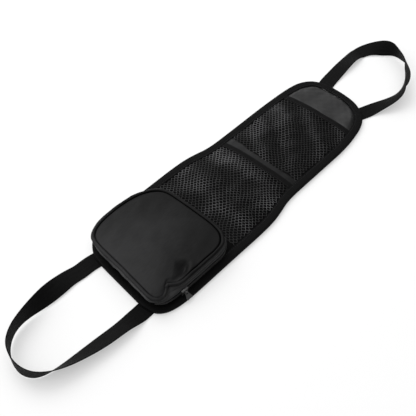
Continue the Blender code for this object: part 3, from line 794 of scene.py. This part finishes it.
def mouth_tape(name, mouth, seam, node):
    """The tape folded over a pocket's mouth."""
    section = [
        (-MOUTH_W + 0.2, 0.1), (-MOUTH_W, 0.45), (-MOUTH_W + 0.3, 0.8), (-8.3, 0.92), (-7.9, 0.8), (-7.5, 0.92), (-5, 1.0),
        (-2.4, 0.95), (-1.0, 0.9), (-0.3, 0.65), (0.0, 0.15), (-0.3, -0.4), (-1.0, -0.62), (-5, -0.66),
        (-MOUTH_W + 0.6, -0.6), (-MOUTH_W + 0.1, -0.3),
    ]
    low, high = half_width(side_edge, mouth - 4)
    count = 150
    x = np.linspace(low - 0.6, high + 0.8, count)
    rows = []
    for dy, dz in section:
        bow = 0.12 * ripple(x, x * 0, 40, 51) + 0.05 * ripple(x, x * 0, 9, 52)
        y = mouth + dy + bow
        base = net_surface(x, np.full_like(x, mouth - 5.0), mouth, seam)
        left, right = half_width(side_edge, y)
        rows.append(np.column_stack([np.clip(x, left - 0.8, right + 0.8), y, base + dz * 0.9 + 0.1]))
    P = np.stack(rows)
    uv = np.stack([run_lengths(P, 0), run_lengths(P, 1)], -1)
    n = len(section)
    faces = grid_faces(n, count, wrap_r=True, flip=True)
    faces += [[i * count for i in range(n)], [i * count + count - 1 for i in reversed(range(n))]]
    piece = link(name, build(name, P, faces, uv), BINDING)
    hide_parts(node)
    sewn = P[4] + np.array([0, 0, 0.12])
    return [piece, stitches(name + "_stitches", sewn, 2.4, 3.5, 0.25)]


for (piece, width, length), trims in (
    (upper_net, mouth_tape("mouth_tape_upper", 256.0, 119.0, "upper_mouth_binding")),
    (lower_net, mouth_tape("mouth_tape_lower", 110.0, -28.0, "lower_mouth_binding")),
):
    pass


def welt():
    """The hem of the lining between the upper net and the lower pocket's mouth: it folds over the net's lower end."""
    low, high = half_width(side_edge, 116.0)
    count = 140
    x = np.linspace(low - 0.5, high + 0.5, count)
    f = np.linspace(0, 1, count)
    upper = 123.5 - 3.2 * f + 0.9 * ripple(x, x * 0, 34, 61) + 0.3 * ripple(x, x * 0, 11, 62)
    lower = np.full(count, 104.0)
    swell = ease(f / 0.06) * ease((1 - f) / 0.06)
    rows = []
    for t in np.linspace(0, 1, 16):
        y = lower + (upper - lower) * t
        round_edge = np.sqrt(np.clip(1 - ((t - 0.86) / 0.14) ** 2, 0, 1)) if t > 0.86 else 1.0
        z = 5.2 + swell * ((1.1 + 0.3 * ripple(x, y, 20, 63)) * round_edge - 0.1)
        rows.append(np.column_stack([x, y, z]))
    P = np.stack(rows)
    mesh = build("lining_welt", P, grid_faces(16, count), P[..., :2])
    piece = link("lining_welt", mesh, HEM)
    thicken(piece, 0.5)


welt()

# Zipped box pocket
rim = smooth_closed(RIM, 720)
foot = smooth_closed(FOOT, 720)
margin = inset(smooth_closed(OUTLINE, 400), BIND_W + 0.9 / 2 + 1.2)
FOLD = [(-50, 0.0), (-44, 1.3), (-40.2, 3.6), (-38.6, 6.2), (-37.4, 10.6), (-36.4, 13.9), (-35.4, 13.5), (-32, 9.4),
        (-28, 4.9), (-24, 1.4), (-20, 0.2), (-17, 0.0)]
SINK = [(-52, 0.0), (-46, 1.2), (-41, 2.6), (-38.2, 3.2), (-37.2, 2.6), (-36.7, 0.6), (-34, 0.8), (-28, 1.2), (-22, 0.5), (-16, 0.0)]


def wrap(degrees):
    return (np.asarray(degrees, float) + 180) % 360 - 180


def dip(degrees):
    """How far the rim is folded inwards beside the slider."""
    a = wrap(degrees)
    total = 0.0
    for k in range(-4, 5):
        total = total + (5 - abs(k)) / 25.0 * np.interp(
            a + k * 0.28, [p[0] for p in FOLD], [p[1] for p in FOLD], left=0, right=0
        )
    return total


def sink(degrees):
    a = wrap(degrees)
    return np.interp(a, [p[0] for p in SINK], [p[1] for p in SINK], left=0, right=0)


def rim_radius(degrees):
    return radius_at(rim, degrees) - dip(degrees)


def wall(degrees, z, stand_off=0.0, swell=1.0):
    """A point of the pocket's side wall. The fold at the rim fades out above the zipper."""
    degrees = np.asarray(degrees, float)
    z = np.broadcast_to(np.asarray(z, float), degrees.shape)
    f = (z - WALL_Z[0]) / (WALL_Z[1] - WALL_Z[0])

    def reach(d):
        base = np.minimum(radius_at(foot, d), radius_at(margin, d))
        return (1 - f) * base + f * radius_at(rim, d) - dip(d) * ease((z - 14.5) / 8.0)

    a = np.radians(degrees)
    radial = np.stack([np.cos(a), np.sin(a)], -1)
    step = 0.6
    ends = []
    for d in (degrees - step, degrees + step):
        r = np.radians(d)
        ends.append(np.stack([np.cos(r), np.sin(r)], -1) * reach(d)[..., None])
    tangent = ends[1] - ends[0]
    normal = np.stack([tangent[..., 1], -tangent[..., 0]], -1)
    normal /= np.linalg.norm(normal, axis=-1)[..., None]
    out = BULGE * ease((z - EDGE_H - 0.3) / 2.6) * ease((1 - f) / 0.45) * swell + stand_off
    at = np.array(CENTRE) + radial * reach(degrees)[..., None] + normal * np.asarray(out)[..., None]
    return np.concatenate([at, z[..., None]], -1)


def around(count_per_degree=1.4, start=0.0, end=360.0):
    """Directions round the pocket, closer together at the fold."""
    a = np.linspace(start, end, int((end - start) * count_per_degree) + 1)
    extra = np.concatenate([np.linspace(-50, -15, 100), np.linspace(-38.6, -36.2, 22)])
    extra = np.concatenate([extra, extra + 360])
    extra = extra[(extra > start + 0.2) & (extra < end - 0.2)]
    return np.unique(np.round(np.concatenate([a, extra]), 3))


def gusset(name, node, start, end, low, high, rows, look, seed, folds=0.5, lip_low=0.0, lip_high=0.0, bands=0):
    angles = around(1.4, start, end)
    heights = np.linspace(low, high, rows)
    P = []
    for z in heights:
        t = (z - low) / (high - low)
        base = wall(angles, np.full_like(angles, z))
        arc = np.radians(angles) * 80
        crease = folds * (ripple(arc, np.full_like(arc, z * 3.0), 26, seed) * math.sin(math.pi * t) ** 0.7)
        if bands:
            phase = (z - low) / (high - low) * bands + 0.12 * ripple(arc, arc * 0, 60, seed + 5) * math.sin(math.pi * t)
            crease = crease - 0.9 + 1.7 * np.abs(np.sin(np.pi * phase)) ** 0.6
        ends = ease((angles - start) / 3) * ease((end - angles) / 3)
        roll = lip_low * math.exp(-((t / 0.09) ** 2)) + lip_high * math.exp(-(((1 - t) / 0.09) ** 2))
        P.append(wall(angles, np.full_like(angles, z), crease * ends + roll))
    P = np.stack(P)
    arc = np.broadcast_to((np.radians(angles) * 80)[None, :], P.shape[:2])
    uv = np.stack([arc, np.broadcast_to(heights[:, None], P.shape[:2])], -1)
    piece = link(name, build(name, P, grid_faces(len(heights), len(angles)), uv), look)
    thicken(piece, 0.6)
    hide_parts(node)
    return piece


slit = ZIP_SLIT / 2
tape_low = (ZIP_Z - slit - TAPE_W, ZIP_Z - slit + 0.1)
tape_high = (ZIP_Z + slit - 0.1, ZIP_Z + slit + TAPE_W)
gusset("gusset_below_zipper", "pocket_lower_gusset", ZIP_FROM, ZIP_TO, WALL_Z[0], tape_low[0] + 0.5, 9, GUSSET,
       71, 0.15, 0.0, 0.5)
gusset("gusset_above_zipper", "pocket_upper_gusset", ZIP_FROM, ZIP_TO, tape_high[1] - 0.6, 22.6, 30, GUSSET,
       72, 0.35, 0.0, 0.0, bands=2)
# the outer end wall uses the gusset copy with painted light
gusset("gusset_outer_end", "pocket_end_gusset", ZIP_TO - 0.4, 360 + ZIP_FROM + 0.4, WALL_Z[0], 22.6, 46,
       GUSSET_END_PAINTED_LIGHT, 73, 0.6, bands=3)
gusset("zip_tape_below", "zipper_tape_lower", ZIP_FROM, ZIP_TO, tape_low[0] - 1.0, tape_low[1], 5, ZIP_TAPE, 74, 0.0)
gusset("zip_tape_above", "zipper_tape_upper", ZIP_FROM, ZIP_TO, tape_high[0], tape_high[1] + 1.0, 5, ZIP_TAPE, 75, 0.0)


def coil(name, node, z):
    """One row of the zipper: a continuous coil of plastic wire."""
    pitch, wire = 1.35, 0.3
    out = TAPE_T / 2 + 0.25 + COIL_R
    dense = wall(np.linspace(ZIP_FROM + 0.5, ZIP_TO - 0.5, 1200), z, out)
    run = np.concatenate([[0], np.cumsum(np.linalg.norm(np.diff(dense, axis=0), axis=1))])
    turns = run[-1] / pitch
    count = int(turns * 9)
    s = np.linspace(0, run[-1], count)
    line = np.stack([np.interp(s, run, dense[:, k]) for k in range(3)], 1)
    ahead = np.gradient(line, axis=0)
    ahead /= np.linalg.norm(ahead, axis=1)[:, None]
    up = np.array([0.0, 0.0, 1.0])
    side = np.cross(ahead, up)
    side /= np.linalg.norm(side, axis=1)[:, None]
    phase = 2 * np.pi * s / pitch
    radius = COIL_R - wire
    path = line + side * (np.cos(phase) * radius)[:, None] + up * (np.sin(phase) * radius * 1.1)[:, None]
    t = np.gradient(path, axis=0)
    t /= np.linalg.norm(t, axis=1)[:, None]
    out_dir = path - line
    out_dir -= t * np.sum(out_dir * t, axis=1)[:, None]
    out_dir /= np.linalg.norm(out_dir, axis=1)[:, None]
    other = np.cross(t, out_dir)
    sides = 5
    q = 2 * np.pi * np.arange(sides) / sides
    ring = path[:, None, :] + wire * (
        out_dir[:, None, :] * np.cos(q)[None, :, None] + other[:, None, :] * np.sin(q)[None, :, None]
    )
    faces = grid_faces(count, sides, wrap_c=True)
    faces += [list(reversed(range(sides))), [(count - 1) * sides + i for i in range(sides)]]
    uv = np.stack(np.broadcast_arrays((q * wire)[None, :], s[:, None]), -1)
    piece = link(name, build(name, ring, faces, uv), COIL)
    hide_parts(node)


coil("zip_coil_below", "zipper_coil_lower", ZIP_Z - slit - COIL_R)
coil("zip_coil_above", "zipper_coil_upper", ZIP_Z + slit + COIL_R)

BAND = 3.6  # width of the turned edge round the pocket's front


def top_frame(angles):
    """Rim points and their outward normals round the pocket."""
    a = np.radians(angles)
    at = np.array(CENTRE) + np.stack([np.cos(a), np.sin(a)], -1) * rim_radius(angles)[:, None]
    ahead = np.roll(at, -1, axis=0) - np.roll(at, 1, axis=0)
    ahead /= np.linalg.norm(ahead, axis=1)[:, None]
    normal = np.stack([ahead[:, 1], -ahead[:, 0]], 1)
    raw = normal.copy()
    for _ in range(10):
        normal = (np.roll(normal, 1, axis=0) + 2 * normal + np.roll(normal, -1, axis=0)) / 4
    normal /= np.linalg.norm(normal, axis=1)[:, None]
    # inwards offsets shrink where the rim turns in a tight bend, so that they never cross each other
    step = np.linalg.norm(np.roll(at, -1, axis=0) - np.roll(at, 1, axis=0), axis=1)
    turn = np.roll(raw, -1, axis=0) - np.roll(raw, 1, axis=0)
    bend = np.sum(turn * (np.roll(at, -1, axis=0) - np.roll(at, 1, axis=0)), axis=1) / step**2
    bend = np.maximum(bend, 0.0)
    for _ in range(8):
        bend = (np.roll(bend, 1) + 2 * bend + np.roll(bend, -1)) / 4
    room = np.minimum(1.0, 0.75 / np.maximum(bend * BAND, 1e-3))
    for _ in range(8):
        room = np.minimum(room, np.minimum(np.roll(room, 1), np.roll(room, -1)))
    for _ in range(16):
        room = (np.roll(room, 1) + 2 * room + np.roll(room, -1)) / 4
    return at, normal, room


def rim_band():
    angles = around(1.4)[:-1]
    at, normal, room = top_frame(angles)
    low = sink(angles)
    section = [
        (-BAND - 0.3, 22.6), (-BAND + 0.1, 23.8), (-BAND + 0.3, 24.9), (-BAND + 0.8, 25.7), (-BAND + 1.6, 26.2),
        (-1.0, 26.4), (0.0, 26.25), (0.9, 25.7), (1.5, 24.9), (1.7, 24.0), (1.5, 23.1), (0.9, 22.3), (0.1, 21.9), (-0.6, 21.9),
    ]
    arc = np.radians(angles) * 80
    rows = []
    for out, z in section:
        wob = 0.22 * ripple(arc, arc * 0, 30, 81) + 0.08 * ripple(arc, arc * 0, 9, 82)
        shift = out + wob * (1 if out > -3 else 0.4)
        p = at + normal * (np.where(shift < 0, shift * room, shift))[:, None]
        rows.append(np.column_stack([p, z - low + 0.12 * ripple(arc, arc * 0 + out * 4, 18, 83)]))
    P = np.stack(rows)
    P = np.concatenate([P, P[:, :1]], axis=1)
    uv_arc = np.concatenate([arc, arc[:1] + 2 * math.pi * 80])
    uv = np.stack([np.broadcast_to(uv_arc[None, :], P.shape[:2]), run_lengths(P, 0)], -1)
    mesh = build("rim_band", P, grid_faces(len(section), len(angles) + 1, flip=True), uv)
    piece = link("rim_band", mesh, NYLON)
    thicken(piece, 0.5)
    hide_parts("pocket_rim_piping")


def panel_height(x, y, f):
    crown = 2.3 * (1 - f**2)
    soft = 0.55 * ripple(x, y, 70, 91) + 0.2 * ripple(x, y, 30, 92)

    def along(ax, ay, bx, by):
        dx, dy = bx - ax, by - ay
        length = math.hypot(dx, dy)
        return ((x - ax) * dx + (y - ay) * dy) / length, ((x - ax) * -dy + (y - ay) * dx) / length

    # the hollow that runs into the folded corner: steep on its left, with a ridge on its right
    s, w = along(56.0, -105.0, 67.5, -121.0)
    flank = np.clip(1 + w / 13.5, 0, 1)
    steep = np.where(w < 0, 0.5 * flank + 0.5 * ease(flank), np.exp(-((w / 6.5) ** 2)))
    hollow = 5.0 * steep * ease((s + 8) / 12)
    s, w = along(60.0, -94.0, 73.0, -122.0)
    ridge = 1.5 * np.exp(-((w / 4.5) ** 2)) * ease((s + 4) / 16)
    inside = ease((1.0 - f) / 0.10)
    return 25.2 + (crown + soft) * ease((1 - f) / 0.12) - hollow * inside + ridge * inside


def front_panel():
    angles = around(1.4)[:-1]
    at, normal, room = top_frame(angles)
    edge = at - normal * ((BAND - 0.1) * room)[:, None]
    # at the fold the cloth's edge runs straight in under the turned edge
    radial = np.stack([np.cos(np.radians(angles)), np.sin(np.radians(angles))], -1)
    near = (ease((wrap(angles) + 52) / 6) * ease((-22 - wrap(angles)) / 6))[:, None]
    edge = edge * (1 - near) + (at - radial * (BAND - 1.4)) * near
    low = sink(angles)
    centre = np.array(CENTRE)
    rings = [1.0, 0.992, 0.984, 0.975, 0.965, 0.95, 0.93] + list(np.linspace(0.905, 0.02, 42))
    rows = []
    smooth = np.array(CENTRE) + np.stack([np.cos(np.radians(angles)), np.sin(np.radians(angles))], -1) * (
        (radius_at(rim, angles) - BAND)[:, None]
    )
    for f in rings:
        p = centre + (smooth - centre) * f + (edge - smooth) * ease((f - 0.72) / 0.28)
        drop = 2.1 * ease((f - 0.972) / 0.028)
        z = panel_height(p[:, 0], p[:, 1], np.full(len(p), f)) - drop - low * ease((f - 0.82) / 0.18)
        rows.append(np.column_stack([p, z]))
    P = np.stack(rows)
    n = len(angles)
    points = np.concatenate([P.reshape(-1, 3), [[*centre, panel_height(centre[0], centre[1], 0.0)]]])
    faces = grid_faces(len(rings), n, wrap_c=True, flip=True)
    last = (len(rings) - 1) * n
    faces += [[last + i, len(points) - 1, last + (i + 1) % n] for i in range(n)]
    mesh = build("pocket_front_cloth", points, faces, points[:, :2])
    piece = link("pocket_front_cloth", mesh, NYLON)
    thicken(piece, 0.5)
    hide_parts("pocket_front_panel")


rim_band()
front_panel()

# Light: a pale room that is brighter overhead and to the picture's left, and a broad lamp there
LEFT = Vector((-0.739, -0.674, 0.0))
AWAY = Vector((-0.674, 0.739, 0.0))
world = bpy.data.worlds.new("room")
world.use_nodes = True
wt = world.node_tree
direction = wt.nodes.new("ShaderNodeTexCoord").outputs["Generated"]
toward = wt.nodes.new("ShaderNodeVectorMath")
toward.operation = "DOT_PRODUCT"
toward.inputs[1].default_value = (LEFT * 0.55 + AWAY * 0.35 + Vector((0, 0, 0.75))).normalized()
wt.links.new(direction, toward.inputs[0])
spread = wt.nodes.new("ShaderNodeMapRange")
spread.inputs["From Min"].default_value = -0.2
spread.inputs["From Max"].default_value = 1.0
spread.inputs["To Min"].default_value = 0.25
spread.inputs["To Max"].default_value = 1.5
spread.interpolation_type = "SMOOTHSTEP"
wt.links.new(toward.outputs["Value"], spread.inputs["Value"])
wt.links.new(spread.outputs["Result"], wt.nodes["Background"].inputs["Strength"])
wt.nodes["Background"].inputs["Color"].default_value = (1, 1, 1, 1)
scene.world = world


def lamp(name, direction, distance, size, power):
    data = bpy.data.lights.new(name, "AREA")
    data.shape = "DISK"
    data.size = size
    data.energy = power
    thing = bpy.data.objects.new(name, data)
    scene.collection.objects.link(thing)
    thing.location = Vector(direction).normalized() * distance
    aim(thing, (0, 0, 0))


lamp("key", LEFT * 0.55 + AWAY * 0.5 + Vector((0, 0, 1.0)), 1.5, 1.1, 9)
